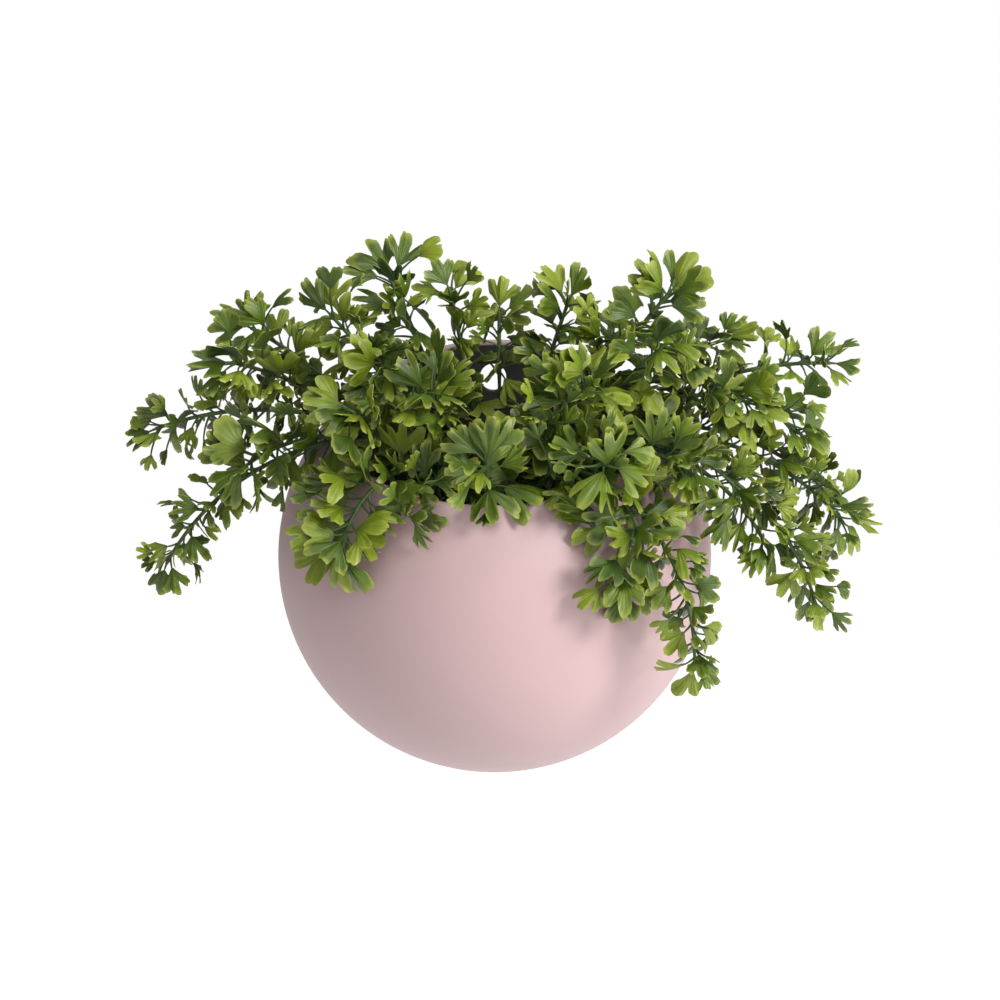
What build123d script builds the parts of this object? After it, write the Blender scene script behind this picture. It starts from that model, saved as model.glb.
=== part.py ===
from build123d import *
import os
from itertools import product
from math import atan2, cos, radians, sin, sqrt
from random import Random

# A half globe of ceramic that hangs flat on a wall, with a slanted mouth and a bush of plastic sprigs.
# Millimetres, +Z up. The wall is the plane y = 0, the planter stands out towards -Y, and the origin is
# where the axis of the hanging hole meets the wall.

# The ceramic shell
globe_radius = 100.0
wall = 5.0
back_plate = 6.0
plate_above_mouth = 23.0
mouth_tilt = radians(26.5)
hole_radius = 6.0
hole_below_top = 17.0
hole_round = 0.8
back_edge_round = 1.0
plate_edge_round = 2.0

# The foam block and the holes that the stems stand in
foam_below_mouth = 34.0
foam_side_gap = 4.0
foam_gap = 0.5
foam_edge_round = 3.0
hole_pitch = 8.5
hole_row_pitch = 7.4
holes_each_side = 5
rows_each_side = 4
peg_depth = 8.0

# One sprig, whose bent stem is made of short straight runs
stem_radius = 1.1
stem_run = 12.0
fewest_runs = 3
petiole_radius = 0.6
leaf_thickness = 0.8
leaf_half_angle = 52.0
leaf_notch = 0.74
leaf_foot = 0.06
lobes = 3
petiole_share = 0.38
petiole_spread = 2.0
end_petiole = 3.0
petiole_grip = 0.25
petiole_foot = 0.45
leaf_least = 0.82
leaf_most = 1.05
leafless_share = 0.3

# How the leaves stand: the side that the bush opens to, how far a leaf may turn from it, and how the pairs
# follow each other down a stem
open_side = (0.0, -0.6, 0.8)
leaf_facing = (0.0, -0.75, 0.45)
facing_outward = 0.5
facing_spread = 0.4
facing_spread_step = 0.1
side_swing = 0.3
swing_step = 0.12
first_pair_step = 0.3
pair_step = 0.45
pair_step_growth = 0.13
pair_opening = 42.0
pair_opening_growth = 7.0
pair_opening_most = 65.0

# Room that the plant keeps to the pot and the wall on its way out, to the fingers that reach down behind its
# stems to lift it out, and between its sprigs
stem_clearance = 2.6
leaf_clearance = 1.5
wall_clearance = 3.0
finger_room = 27.0
finger_room_half_width = 72.0
stem_gap = 3.3
leaf_gap = 2.3
blade_gap = 1.7
sample_pitch = 2.1

# How the stems lean: the hole that a sprig takes, and how its stem crosses the mouth
hole_across_share = 0.20
hole_out_share = 0.30
hole_down_share = 0.10
usual_out = 68.0
usual_up = 62.0
rise_over_lip = 5.0
rise_step = 1.5
upright_margin = 30.0
crossing_share = 0.8
first_heading_share = 0.6
holes_tried = 5
rises_tried = 16
leaf_tries = 24
petiole_samples = (0.45, 0.75)
near_enough = 0.01

# Each sprig: its tip in hundredths of the globe's radius from the globe's centre (across, out of the wall as
# a negative number, up), then its leaf length, its pairs of leaves and the step from pair to pair
SPRIGS = [
    ("hanging_front_runner", (87, -89, -41), 13, 11, 12),
    ("front_left", (-66, -93, 13), 18, 8, 7),
    ("hanging_fan", (64, -98, 13), 17, 6, 9),
    ("hanging_lower_fan", (56, -95, -4), 16, 6, 9),
    ("rim_leaf", (43, -100, 20), 13, 5, 10),
    ("rim_left_low", (-38, -98, 26), 14, 6, 9),
    ("front_centre", (-3, -105, 50), 18, 8, 6),
    ("front_right", (48, -102, 47), 18, 8, 6),
    ("low_front", (28, -100, 47), 14, 6, 9),
    ("right_hanging", (121, -59, 8), 13, 7, 11),
    ("hanging_right_runner", (142, -61, -15), 12, 10, 12),
    ("low_right_runner", (156, -51, 18), 14, 9, 12),
    ("thin_right_runner", (147, -40, 34), 12, 8, 12),
    ("low_left_runner", (-147, -50, 2), 12, 9, 13),
    ("left_runner", (-152, -40, 62), 13, 9, 13),
    ("top_left", (-46, -40, 129), 17, 7, 10),
    ("top_left_middle", (-19, -45, 123), 13, 7, 11),
    ("upper_left", (-72, -57, 113), 15, 7, 11),
    ("far_upper_left", (-108, -45, 107), 15, 7, 11),
    ("left_rosette", (-116, -57, 92), 18, 8, 8),
    ("low_left_rosette", (-109, -66, 47), 18, 8, 8),
    ("top_centre", (3, -45, 113), 13, 7, 11),
    ("top_right_centre", (34, -49, 118), 15, 7, 10),
    ("front_fan", (42, -91, 83), 17, 6, 8),
    ("front_blade", (26, -92, 68), 16, 6, 9),
    ("top_right", (79, -59, 122), 17, 7, 9),
    ("upper_right", (76, -76, 99), 17, 8, 8),
    ("upper_right_runner", (151, -42, 89), 12, 9, 13),
    ("right_shoulder", (104, -42, 100), 13, 7, 10),
    ("right_middle", (114, -61, 72), 15, 7, 10),
    ("far_right", (136, -55, 58), 16, 8, 9),
    ("right_front", (85, -88, 44), 16, 7, 9),
    ("right_front_low", (110, -74, 31), 15, 7, 9),
    ("left_inner", (-50, -72, 93), 16, 7, 9),
    ("left_inner_front", (-30, -85, 80), 18, 7, 8),
    ("left_broad", (-64, -84, 72), 18, 7, 8),
    ("upper_middle_right", (53, -61, 103), 15, 7, 10),
]


# Vectors as plain tuples
def add(a, b):
    return tuple(p + q for p, q in zip(a, b))


def along(a, b, k):
    return tuple(p + q * k for p, q in zip(a, b))


def scaled(a, k):
    return tuple(p * k for p in a)


def dot(a, b):
    return sum(p * q for p, q in zip(a, b))


def cross(a, b):
    return (a[1] * b[2] - a[2] * b[1], a[2] * b[0] - a[0] * b[2], a[0] * b[1] - a[1] * b[0])


def length(a):
    return sqrt(dot(a, a))


def unit(a):
    return scaled(a, 1 / length(a))


# Places that follow from the sizes above
inner_radius = globe_radius - wall
centre = (0.0, 0.0, hole_below_top - globe_radius)
lift = (0.0, -sin(mouth_tilt), cos(mouth_tilt))
downhill = (0.0, -cos(mouth_tilt), -sin(mouth_tilt))
mouth_offset = (globe_radius - plate_above_mouth) * cos(mouth_tilt)
mouth_inner = sqrt(inner_radius**2 - mouth_offset**2)
mouth_back = (back_plate - mouth_offset * sin(mouth_tilt)) / cos(mouth_tilt)
mouth_middle = (mouth_inner + mouth_back) / 2
foam_top = mouth_offset - foam_below_mouth
foam_radius = mouth_inner - foam_side_gap
foam_back = (back_plate + foam_gap - foam_top * sin(mouth_tilt)) / cos(mouth_tilt)
foam_middle = (foam_radius + foam_back) / 2


def mouth_point(across, down, height):
    """A point in the mouth's own directions, from the globe's centre."""
    return along(along(along(centre, lift, height), downhill, down), (1.0, 0.0, 0.0), across)


def in_finger_room(point, gap):
    return point[1] > -finger_room - gap and abs(point[0]) < finger_room_half_width + gap


def clear_of_pot(point, gap):
    """True if the point keeps this gap to the shell, the wall and the fingers' room as the plant is lifted out."""
    if point[1] > -wall_clearance or in_finger_room(point, gap):
        return False
    place = along(point, centre, -1)
    height = dot(place, lift)
    from_axis = length(along(place, lift, -height))
    from_centre = length(place)
    if height > mouth_offset + gap:
        return place[1] < -back_plate - gap or from_centre > globe_radius + gap
    if from_centre < globe_radius - wall / 2:
        inside = from_axis < mouth_inner - gap and from_centre < inner_radius - gap
        return inside and place[1] < -back_plate - gap
    return (from_centre if height > 0 else from_axis) > globe_radius + gap


class Arc:
    """The arc of a circle that leaves start along heading and ends at end."""

    def __init__(self, start, heading, end):
        chord = along(end, start, -1)
        ahead = dot(chord, heading)
        off = along(chord, heading, -ahead)
        self.start = start
        self.heading = heading
        self.side = unit(off)
        self.turn = 2 * atan2(length(off), ahead)
        self.radius = dot(chord, chord) / (2 * length(off))
        self.length = self.radius * self.turn

    def point(self, distance):
        turn = distance / self.radius
        ahead = along(self.start, self.heading, self.radius * sin(turn))
        return along(ahead, self.side, self.radius * (1 - cos(turn)))

    def ahead(self, distance):
        turn = distance / self.radius
        return along(scaled(self.heading, cos(turn)), self.side, sin(turn))


class Stem:
    """Two arcs that meet smoothly over the mouth, from a hole in the foam to the sprig's tip."""

    def __init__(self, root, over, tip):
        first = unit(along(over, root, -1))
        second = unit(along(tip, over, -1))
        heading = unit(along(second, first, first_heading_share))
        self.root = root
        self.over = over
        self.tip = tip
        self.lower = Arc(over, scaled(heading, -1), root)
        self.upper = Arc(over, heading, tip)
        self.length = self.lower.length + self.upper.length
        runs = max(fewest_runs, round(self.length / stem_run))
        self.joints = [self.point(self.length * i / runs) for i in range(1, runs + 1)]
        self.inward = unit(along(root, self.joints[0], -1))

    def point(self, distance):
        past = distance - self.lower.length
        return self.lower.point(-past) if past < 0 else self.upper.point(past)

    def frame(self, distance):
        past = distance - self.lower.length
        ahead = scaled(self.lower.ahead(-past), -1) if past < 0 else self.upper.ahead(past)
        across = unit(cross(ahead, open_side))
        return ahead, across, cross(across, ahead)

    def peg_samples(self):
        steps = int(peg_depth / sample_pitch) + 1
        return [along(self.root, self.inward, peg_depth * i / steps) for i in range(1, steps + 1)]

    def samples(self):
        steps = int(self.length / sample_pitch) + 1
        return [self.point(self.length * i / steps) for i in range(steps + 1)]


class Leaf:
    """A fan-shaped leaf on its petiole, with x across the leaf, y along it and z out of its face."""

    def __init__(self, root, direction, petiole, size, face):
        self.root = root
        self.y = unit(direction)
        self.z = unit(along(face, self.y, -dot(face, self.y)))
        self.x = cross(self.y, self.z)
        self.petiole = petiole
        self.base = along(root, self.y, petiole)
        self.size = size

    def stalk_samples(self):
        return [along(self.root, self.y, self.petiole * share) for share in petiole_samples]

    def blade_samples(self):
        rows = int(self.size / sample_pitch) + 1
        points = []
        for row in range(rows + 1):
            reach = self.size * row / rows
            steps = int(reach * radians(2 * leaf_half_angle) / sample_pitch) + 1
            for step in range(steps + 1):
                angle = radians(leaf_half_angle) * (2 * step / steps - 1)
                point = along(self.base, self.x, reach * sin(angle))
                points.append(along(point, self.y, reach * cos(angle)))
        return points


class Crowd:
    """Points that are taken, sorted into cells, each with the sprig that it belongs to."""

    def __init__(self, gap):
        self.gap = gap
        self.cells = {}

    def cell(self, point):
        return tuple(int(c // self.gap) for c in point)

    def put(self, points, owner):
        for point in points:
            self.cells.setdefault(self.cell(point), []).append((point, owner))

    def free(self, points, owner):
        return not any(self.touched(point, owner) for point in points)

    def touched(self, point, owner):
        x, y, z = self.cell(point)
        for i in (x - 1, x, x + 1):
            for j in (y - 1, y, y + 1):
                for k in (z - 1, z, z + 1):
                    for other, who in self.cells.get((i, j, k), ()):
                        if who != owner and length(along(point, other, -1)) < self.gap:
                            return True
        return False


def foam_holes():
    """The holes in the foam, in staggered rows, as (across, down) on its top."""
    margin = foam_edge_round + stem_radius
    holes = []
    for row in range(-rows_each_side, rows_each_side + 1):
        for column in range(-holes_each_side, holes_each_side + 1):
            across = hole_pitch * (column + 0.5 * (row % 2))
            down = foam_middle + hole_row_pitch * row
            if sqrt(across**2 + down**2) > foam_radius - margin:
                continue
            if not in_finger_room(mouth_point(across, down, foam_top), stem_clearance):
                holes.append((across, down))
    return holes


def stem_from(hole, reach, rise):
    """The stem from a hole in the foam, over the lip, to the tip at reach from the globe's centre."""
    across, down = hole
    across_end, down_end, height = reach[0], dot(reach, downhill), dot(reach, lift)
    from_axis = sqrt(across_end**2 + down_end**2)
    share = (mouth_offset + rise_over_lip - foam_top) / (height - foam_top)
    over_across = across + (across_end - across) * share
    over_down = down + (down_end - down) * share
    upright = height > mouth_offset + upright_margin
    if upright and sqrt(over_across**2 + over_down**2) < mouth_inner:
        over_across *= crossing_share
        over_down = mouth_middle + crossing_share * (over_down - mouth_middle) - rise_step
    else:
        over_across = across_end / from_axis * (mouth_inner + rise_step)
        over_down = down_end / from_axis * (mouth_inner + rise_step)
    over = mouth_point(over_across, over_down, mouth_offset + rise_over_lip + rise)
    return Stem(mouth_point(across, down, foam_top), over, add(centre, reach))


def grow_stem(name, tip, free_holes, stems_taken):
    """The lowest stem that clears the pot and the stems before it, or the highest one tried."""
    across_wish = hole_across_share * tip[0]
    down_wish = foam_middle + hole_out_share * (-tip[1] - usual_out) + hole_down_share * (usual_up - tip[2])
    near = sorted(free_holes, key=lambda h: (h[0] - across_wish) ** 2 + (h[1] - down_wish) ** 2)
    reach = scaled(tip, globe_radius / 100)
    for attempt, hole in product(range(rises_tried), near[:holes_tried]):
        stem = stem_from(hole, reach, rise_step * attempt)
        points = stem.samples()
        if not all(clear_of_pot(p, stem_clearance) for p in points):
            continue
        if stems_taken.free(points + stem.peg_samples(), name):
            break
    free_holes.remove(hole)
    return stem


def grow_leaves(name, stem, leaf_length, pairs, step, taken):
    """Opposite pairs from the tip down, each pair turned a quarter against the last."""
    chance = Random(name)
    outward = unit(along(stem.tip, mouth_point(0.0, foam_middle, foam_top), -1))
    face = unit(along(leaf_facing, outward, facing_outward))
    own_blades = Crowd(blade_gap)
    leaves = []

    def grow(distance, direction, petiole, size):
        for attempt in range(leaf_tries):
            spread = facing_spread + facing_spread_step * attempt
            tilt = tuple(chance.uniform(-spread, spread) for _ in range(3))
            swing = tuple(swing_step * attempt * chance.uniform(-1, 1) for _ in range(3))
            leaf = Leaf(stem.point(distance), add(direction, swing), petiole, size, add(face, tilt))
            blade = leaf.blade_samples()
            points = leaf.stalk_samples() + blade
            if not all(clear_of_pot(p, leaf_clearance) for p in points):
                continue
            if taken.free(points, name) and own_blades.free(blade, leaf):
                taken.put(points, name)
                own_blades.put(blade, leaf)
                leaves.append(leaf)
                return

    ahead, across, bend = stem.frame(stem.length)
    grow(stem.length, along(ahead, across, chance.uniform(-side_swing, side_swing)), end_petiole, leaf_length)
    distance = stem.length - step * first_pair_step
    for pair in range(pairs):
        if pair:
            distance -= step * (pair_step + pair_step_growth * pair)
        if distance < leafless_share * stem.length:
            break
        ahead, across, bend = stem.frame(distance)
        side, other = (across, bend) if pair % 2 == 0 else (bend, across)
        opening = radians(min(pair_opening + pair_opening_growth * pair, pair_opening_most))
        for sign in (-1, 1):
            out = unit(along(scaled(side, sign), other, chance.uniform(-side_swing, side_swing)))
            direction = along(scaled(ahead, cos(opening)), out, sin(opening))
            petiole = leaf_length * petiole_share + chance.uniform(0, petiole_spread)
            grow(distance, direction, petiole, leaf_length * chance.uniform(leaf_least, leaf_most))
    return leaves


def grow_plant():
    """Every sprig's stem and leaves: first all the stems, then the leaves in the room that is left."""
    free_holes = foam_holes()
    stems_taken = Crowd(stem_gap)
    taken = Crowd(leaf_gap)
    stems = {}
    for name, tip, leaf_length, pairs, step in SPRIGS:
        stem = grow_stem(name, tip, free_holes, stems_taken)
        points = stem.samples() + stem.peg_samples()
        stems_taken.put(points, name)
        taken.put(points, name)
        stems[name] = stem
    return {
        name: (stems[name], grow_leaves(name, stems[name], leaf_length, pairs, step, taken))
        for name, tip, leaf_length, pairs, step in SPRIGS
    }


# The solids
everything = 6 * globe_radius
across_mouth = Plane(origin=centre, x_dir=(1, 0, 0), z_dir=lift)
upward = (Align.CENTER, Align.CENTER, Align.MIN)
downward = (Align.CENTER, Align.CENTER, Align.MAX)


def in_front_of(depth):
    """Everything that is further from the wall than this."""
    face = Plane(origin=(0, -depth, 0), z_dir=(0, -1, 0))
    return face * Box(everything, everything, everything, align=upward)


def edges_where(edges, test):
    """The edges for which this length is nothing."""
    return edges.filter_by(lambda edge: abs(test(edge)) < near_enough)


def ceramic_shell():
    """A bowl turned about the mouth's own axis, cut flat at the wall and closed by a round back plate."""
    lip_radius = wall / 2
    lip_height = mouth_offset - lip_radius
    lip_reach = sqrt((globe_radius - lip_radius) ** 2 - lip_height**2)
    lip_angle = atan2(lip_height, lip_reach)
    half_way = (lip_angle - radians(90)) / 2

    def on_circle(radius, angle):
        return (radius * cos(angle), radius * sin(angle))

    outer_foot, inner_foot = (0, -globe_radius), (0, -inner_radius)
    outer_lip, inner_lip = on_circle(globe_radius, lip_angle), on_circle(inner_radius, lip_angle)
    lip_top = (lip_reach - lip_radius * sin(lip_angle), lip_height + lip_radius * cos(lip_angle))
    profile_plane = Plane(origin=centre, x_dir=(1, 0, 0), z_dir=cross((1.0, 0.0, 0.0), lift))
    with BuildSketch(profile_plane) as profile:
        with BuildLine():
            ThreePointArc(outer_foot, on_circle(globe_radius, half_way), outer_lip)
            ThreePointArc(outer_lip, lip_top, inner_lip)
            ThreePointArc(inner_lip, on_circle(inner_radius, half_way), inner_foot)
            Line(inner_foot, outer_foot)
        make_face()
    bowl = revolve(profile.sketch, axis=Axis(centre, lift)) & in_front_of(0)
    slab = Pos(0, -back_plate / 2, centre[2]) * Box(everything, back_plate, everything)
    shell = bowl + (Pos(*centre) * Sphere(globe_radius) & slab)
    back_edge = edges_where(shell.edges(), lambda e: abs((e @ 0).Y) + abs((e @ 0.5).Y))
    shell = shell.fillet(back_edge_round, back_edge)
    plate_edge = edges_where(shell.edges(), lambda e: (e @ 0.5).Y + back_plate).sort_by(Axis.Z)[-1]
    shell = shell.fillet(plate_edge_round, [plate_edge])
    hole = Plane(origin=(0, 0, 0), z_dir=(0, -1, 0)) * Cylinder(hole_radius, everything)
    shell = shell - hole
    hole_edge = edges_where(shell.edges().filter_by(GeomType.CIRCLE), lambda e: e.radius - hole_radius)
    return shell.fillet(hole_round, edges_where(hole_edge, lambda e: (e @ 0).Y + back_plate))


def foam_block(stems):
    """Foam cut to the pot's hollow, no wider than the mouth, with a hole for each stem."""
    column = across_mouth * Pos(0, 0, foam_top) * Cylinder(foam_radius, everything, align=downward)
    block = column & (Pos(*centre) * Sphere(inner_radius - foam_gap)) & in_front_of(back_plate + foam_gap)
    top_level = dot(centre, lift) + foam_top
    top_edges = edges_where(block.edges(), lambda e: dot(tuple(e @ 0.5), lift) - top_level)
    block = block.fillet(foam_edge_round, top_edges)
    return block - [stem_hole(stem) for stem in stems]


def stem_start(stem):
    """The plane across the foot of a stem, at its depth in the foam, facing up the stem."""
    return Plane(origin=along(stem.root, stem.inward, peg_depth), z_dir=scaled(stem.inward, -1))


def stem_hole(stem):
    return stem_start(stem) * Cylinder(stem_radius, peg_depth + foam_edge_round, align=upward)


def leaf_face(size):
    """The fan's outline, from its foot round its lobes."""
    notch_angles = [leaf_half_angle * (2 * i / lobes - 1) for i in range(lobes + 1)]

    def polar(radius, degrees):
        return (radius * size * sin(radians(degrees)), radius * size * cos(radians(degrees)))

    notches = [polar(leaf_notch, angle) for angle in notch_angles]
    tips = [polar(1.0, (a + b) / 2) for a, b in zip(notch_angles, notch_angles[1:])]
    left_foot = (-leaf_foot * size, 0)
    right_foot = (leaf_foot * size, 0)
    edges = [Line(left_foot, notches[0])]
    edges += [ThreePointArc(a, tip, b) for a, tip, b in zip(notches, tips, notches[1:])]
    edges += [Line(notches[-1], right_foot), Line(right_foot, left_foot)]
    return make_face(edges)


def leaf_solids(leaf):
    """The blade and its petiole, which starts inside the stem and runs on into the blade."""
    blade = extrude(leaf_face(leaf.size), leaf_thickness / 2, both=True)
    stalk_length = petiole_foot + leaf.petiole + petiole_grip * leaf.size
    stalk = Cylinder(petiole_radius, stalk_length, align=upward)
    return [
        Plane(origin=leaf.base, x_dir=leaf.x, z_dir=leaf.z) * blade,
        Plane(origin=along(leaf.root, leaf.y, -petiole_foot), x_dir=leaf.x, z_dir=leaf.y) * stalk,
    ]


def sprig(stem, leaves):
    start = stem_start(stem)
    path = Polyline(start.origin, *stem.joints)
    shaft = sweep(start * Circle(stem_radius), path=path, transition=Transition.RIGHT)
    pieces = []
    for leaf in leaves:
        pieces += leaf_solids(leaf)
    return shaft.fuse(*pieces)


plant = grow_plant()
nodes = {
    "ceramic_shell": ceramic_shell(),
    "foam_block": foam_block([stem for stem, leaves in plant.values()]),
}
for name, (stem, leaves) in plant.items():
    nodes["sprig_" + name] = sprig(stem, leaves)

os.makedirs("parts", exist_ok=True)
for name, solid in nodes.items():
    export_step(solid, f"parts/{name}.step")
print(len(nodes), "nodes,", sum(len(leaves) for stem, leaves in plant.values()), "leaves")
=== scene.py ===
from itertools import product
from math import atan2, cos, exp, pi, radians, sin, sqrt
from random import Random

import bpy
from mathutils import Matrix, Vector


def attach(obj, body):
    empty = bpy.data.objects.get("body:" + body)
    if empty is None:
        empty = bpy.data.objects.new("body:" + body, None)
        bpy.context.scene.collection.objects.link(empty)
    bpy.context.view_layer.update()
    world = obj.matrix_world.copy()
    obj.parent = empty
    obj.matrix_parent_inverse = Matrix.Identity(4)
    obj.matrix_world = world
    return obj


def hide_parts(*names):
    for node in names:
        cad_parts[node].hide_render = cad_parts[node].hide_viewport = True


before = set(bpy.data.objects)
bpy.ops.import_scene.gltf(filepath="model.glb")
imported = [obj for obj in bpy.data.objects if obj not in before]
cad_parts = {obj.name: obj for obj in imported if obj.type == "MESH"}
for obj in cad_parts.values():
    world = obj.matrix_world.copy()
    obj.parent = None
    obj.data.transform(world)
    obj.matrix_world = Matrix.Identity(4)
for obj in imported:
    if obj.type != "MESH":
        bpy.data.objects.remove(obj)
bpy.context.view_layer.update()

# The planter's sizes in millimetres, as its solids have them. Every visible sprig grows by the same rules as
# its solid does, so each stem and each leaf of the solid has its place here too. The smaller leaves between
# them are here alone.

# The ceramic shell
globe_radius = 100.0
wall = 5.0
back_plate = 6.0
plate_above_mouth = 23.0
mouth_tilt = radians(26.5)
hole_below_top = 17.0

# The foam block and the holes that the stems stand in
foam_below_mouth = 34.0
foam_side_gap = 4.0
foam_gap = 0.5
foam_edge_round = 3.0
hole_pitch = 8.5
hole_row_pitch = 7.4
holes_each_side = 5
rows_each_side = 4
peg_depth = 8.0

# One sprig, whose bent stem is made of short straight runs
stem_radius = 1.1
stem_run = 12.0
fewest_runs = 3
petiole_radius = 0.6
leaf_half_angle = 52.0
petiole_share = 0.38
petiole_spread = 2.0
end_petiole = 3.0
leaf_least = 0.82
leaf_most = 1.05
leafless_share = 0.3

# How the leaves stand: the side that the bush opens to, how far a leaf may turn from it, and how the pairs
# follow each other down a stem
open_side = (0.0, -0.6, 0.8)
leaf_facing = (0.0, -0.75, 0.45)
facing_outward = 0.5
facing_spread = 0.4
facing_spread_step = 0.1
side_swing = 0.3
swing_step = 0.12
first_pair_step = 0.3
pair_step = 0.45
pair_step_growth = 0.13
pair_opening = 42.0
pair_opening_growth = 7.0
pair_opening_most = 65.0

# Room that the plant keeps to the pot and the wall on its way out, to the fingers that reach down behind its
# stems to lift it out, and between its sprigs
stem_clearance = 2.6
leaf_clearance = 1.5
wall_clearance = 3.0
finger_room = 27.0
finger_room_half_width = 72.0
stem_gap = 3.3
leaf_gap = 2.3
blade_gap = 1.7
sample_pitch = 2.1

# How the stems lean: the hole that a sprig takes, and how its stem crosses the mouth
hole_across_share = 0.20
hole_out_share = 0.30
hole_down_share = 0.10
usual_out = 68.0
usual_up = 62.0
rise_over_lip = 5.0
rise_step = 1.5
upright_margin = 30.0
crossing_share = 0.8
first_heading_share = 0.6
holes_tried = 5
rises_tried = 16
leaf_tries = 24
petiole_samples = (0.45, 0.75)

# Each sprig: its tip in hundredths of the globe's radius from the globe's centre (across, out of the wall as
# a negative number, up), then its leaf length, its pairs of leaves and the step from pair to pair
SPRIGS = [
    ("hanging_front_runner", (87, -89, -41), 13, 11, 12),
    ("front_left", (-66, -93, 13), 18, 8, 7),
    ("hanging_fan", (64, -98, 13), 17, 6, 9),
    ("hanging_lower_fan", (56, -95, -4), 16, 6, 9),
    ("rim_leaf", (43, -100, 20), 13, 5, 10),
    ("rim_left_low", (-38, -98, 26), 14, 6, 9),
    ("front_centre", (-3, -105, 50), 18, 8, 6),
    ("front_right", (48, -102, 47), 18, 8, 6),
    ("low_front", (28, -100, 47), 14, 6, 9),
    ("right_hanging", (121, -59, 8), 13, 7, 11),
    ("hanging_right_runner", (142, -61, -15), 12, 10, 12),
    ("low_right_runner", (156, -51, 18), 14, 9, 12),
    ("thin_right_runner", (147, -40, 34), 12, 8, 12),
    ("low_left_runner", (-147, -50, 2), 12, 9, 13),
    ("left_runner", (-152, -40, 62), 13, 9, 13),
    ("top_left", (-46, -40, 129), 17, 7, 10),
    ("top_left_middle", (-19, -45, 123), 13, 7, 11),
    ("upper_left", (-72, -57, 113), 15, 7, 11),
    ("far_upper_left", (-108, -45, 107), 15, 7, 11),
    ("left_rosette", (-116, -57, 92), 18, 8, 8),
    ("low_left_rosette", (-109, -66, 47), 18, 8, 8),
    ("top_centre", (3, -45, 113), 13, 7, 11),
    ("top_right_centre", (34, -49, 118), 15, 7, 10),
    ("front_fan", (42, -91, 83), 17, 6, 8),
    ("front_blade", (26, -92, 68), 16, 6, 9),
    ("top_right", (79, -59, 122), 17, 7, 9),
    ("upper_right", (76, -76, 99), 17, 8, 8),
    ("upper_right_runner", (151, -42, 89), 12, 9, 13),
    ("right_shoulder", (104, -42, 100), 13, 7, 10),
    ("right_middle", (114, -61, 72), 15, 7, 10),
    ("far_right", (136, -55, 58), 16, 8, 9),
    ("right_front", (85, -88, 44), 16, 7, 9),
    ("right_front_low", (110, -74, 31), 15, 7, 9),
    ("left_inner", (-50, -72, 93), 16, 7, 9),
    ("left_inner_front", (-30, -85, 80), 18, 7, 8),
    ("left_broad", (-64, -84, 72), 18, 7, 8),
    ("upper_middle_right", (53, -61, 103), 15, 7, 10),
]


# Vectors as plain tuples
def add(a, b):
    return tuple(p + q for p, q in zip(a, b))


def along(a, b, k):
    return tuple(p + q * k for p, q in zip(a, b))


def scaled(a, k):
    return tuple(p * k for p in a)


def dot(a, b):
    return sum(p * q for p, q in zip(a, b))


def cross(a, b):
    return (a[1] * b[2] - a[2] * b[1], a[2] * b[0] - a[0] * b[2], a[0] * b[1] - a[1] * b[0])


def length(a):
    return sqrt(dot(a, a))


def unit(a):
    return scaled(a, 1 / length(a))


# Places that follow from the sizes above
inner_radius = globe_radius - wall
centre = (0.0, 0.0, hole_below_top - globe_radius)
lift = (0.0, -sin(mouth_tilt), cos(mouth_tilt))
downhill = (0.0, -cos(mouth_tilt), -sin(mouth_tilt))
mouth_offset = (globe_radius - plate_above_mouth) * cos(mouth_tilt)
mouth_inner = sqrt(inner_radius**2 - mouth_offset**2)
mouth_back = (back_plate - mouth_offset * sin(mouth_tilt)) / cos(mouth_tilt)
mouth_middle = (mouth_inner + mouth_back) / 2
foam_top = mouth_offset - foam_below_mouth
foam_radius = mouth_inner - foam_side_gap
foam_back = (back_plate + foam_gap - foam_top * sin(mouth_tilt)) / cos(mouth_tilt)
foam_middle = (foam_radius + foam_back) / 2


def mouth_point(across, down, height):
    """A point in the mouth's own directions, from the globe's centre."""
    return along(along(along(centre, lift, height), downhill, down), (1.0, 0.0, 0.0), across)


def in_finger_room(point, gap):
    return point[1] > -finger_room - gap and abs(point[0]) < finger_room_half_width + gap


def clear_of_pot(point, gap):
    """True if the point keeps this gap to shell, wall and fingers' room as the plant is lifted out."""
    if point[1] > -wall_clearance or in_finger_room(point, gap):
        return False
    place = along(point, centre, -1)
    height = dot(place, lift)
    from_axis = length(along(place, lift, -height))
    from_centre = length(place)
    if height > mouth_offset + gap:
        return place[1] < -back_plate - gap or from_centre > globe_radius + gap
    if from_centre < globe_radius - wall / 2:
        inside = from_axis < mouth_inner - gap and from_centre < inner_radius - gap
        return inside and place[1] < -back_plate - gap
    return (from_centre if height > 0 else from_axis) > globe_radius + gap


class Arc:
    """The arc of a circle that leaves start along heading and ends at end."""

    def __init__(self, start, heading, end):
        chord = along(end, start, -1)
        ahead = dot(chord, heading)
        off = along(chord, heading, -ahead)
        self.start = start
        self.heading = heading
        self.side = unit(off)
        self.turn = 2 * atan2(length(off), ahead)
        self.radius = dot(chord, chord) / (2 * length(off))
        self.length = self.radius * self.turn

    def point(self, distance):
        turn = distance / self.radius
        ahead = along(self.start, self.heading, self.radius * sin(turn))
        return along(ahead, self.side, self.radius * (1 - cos(turn)))

    def ahead(self, distance):
        turn = distance / self.radius
        return along(scaled(self.heading, cos(turn)), self.side, sin(turn))


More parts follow.
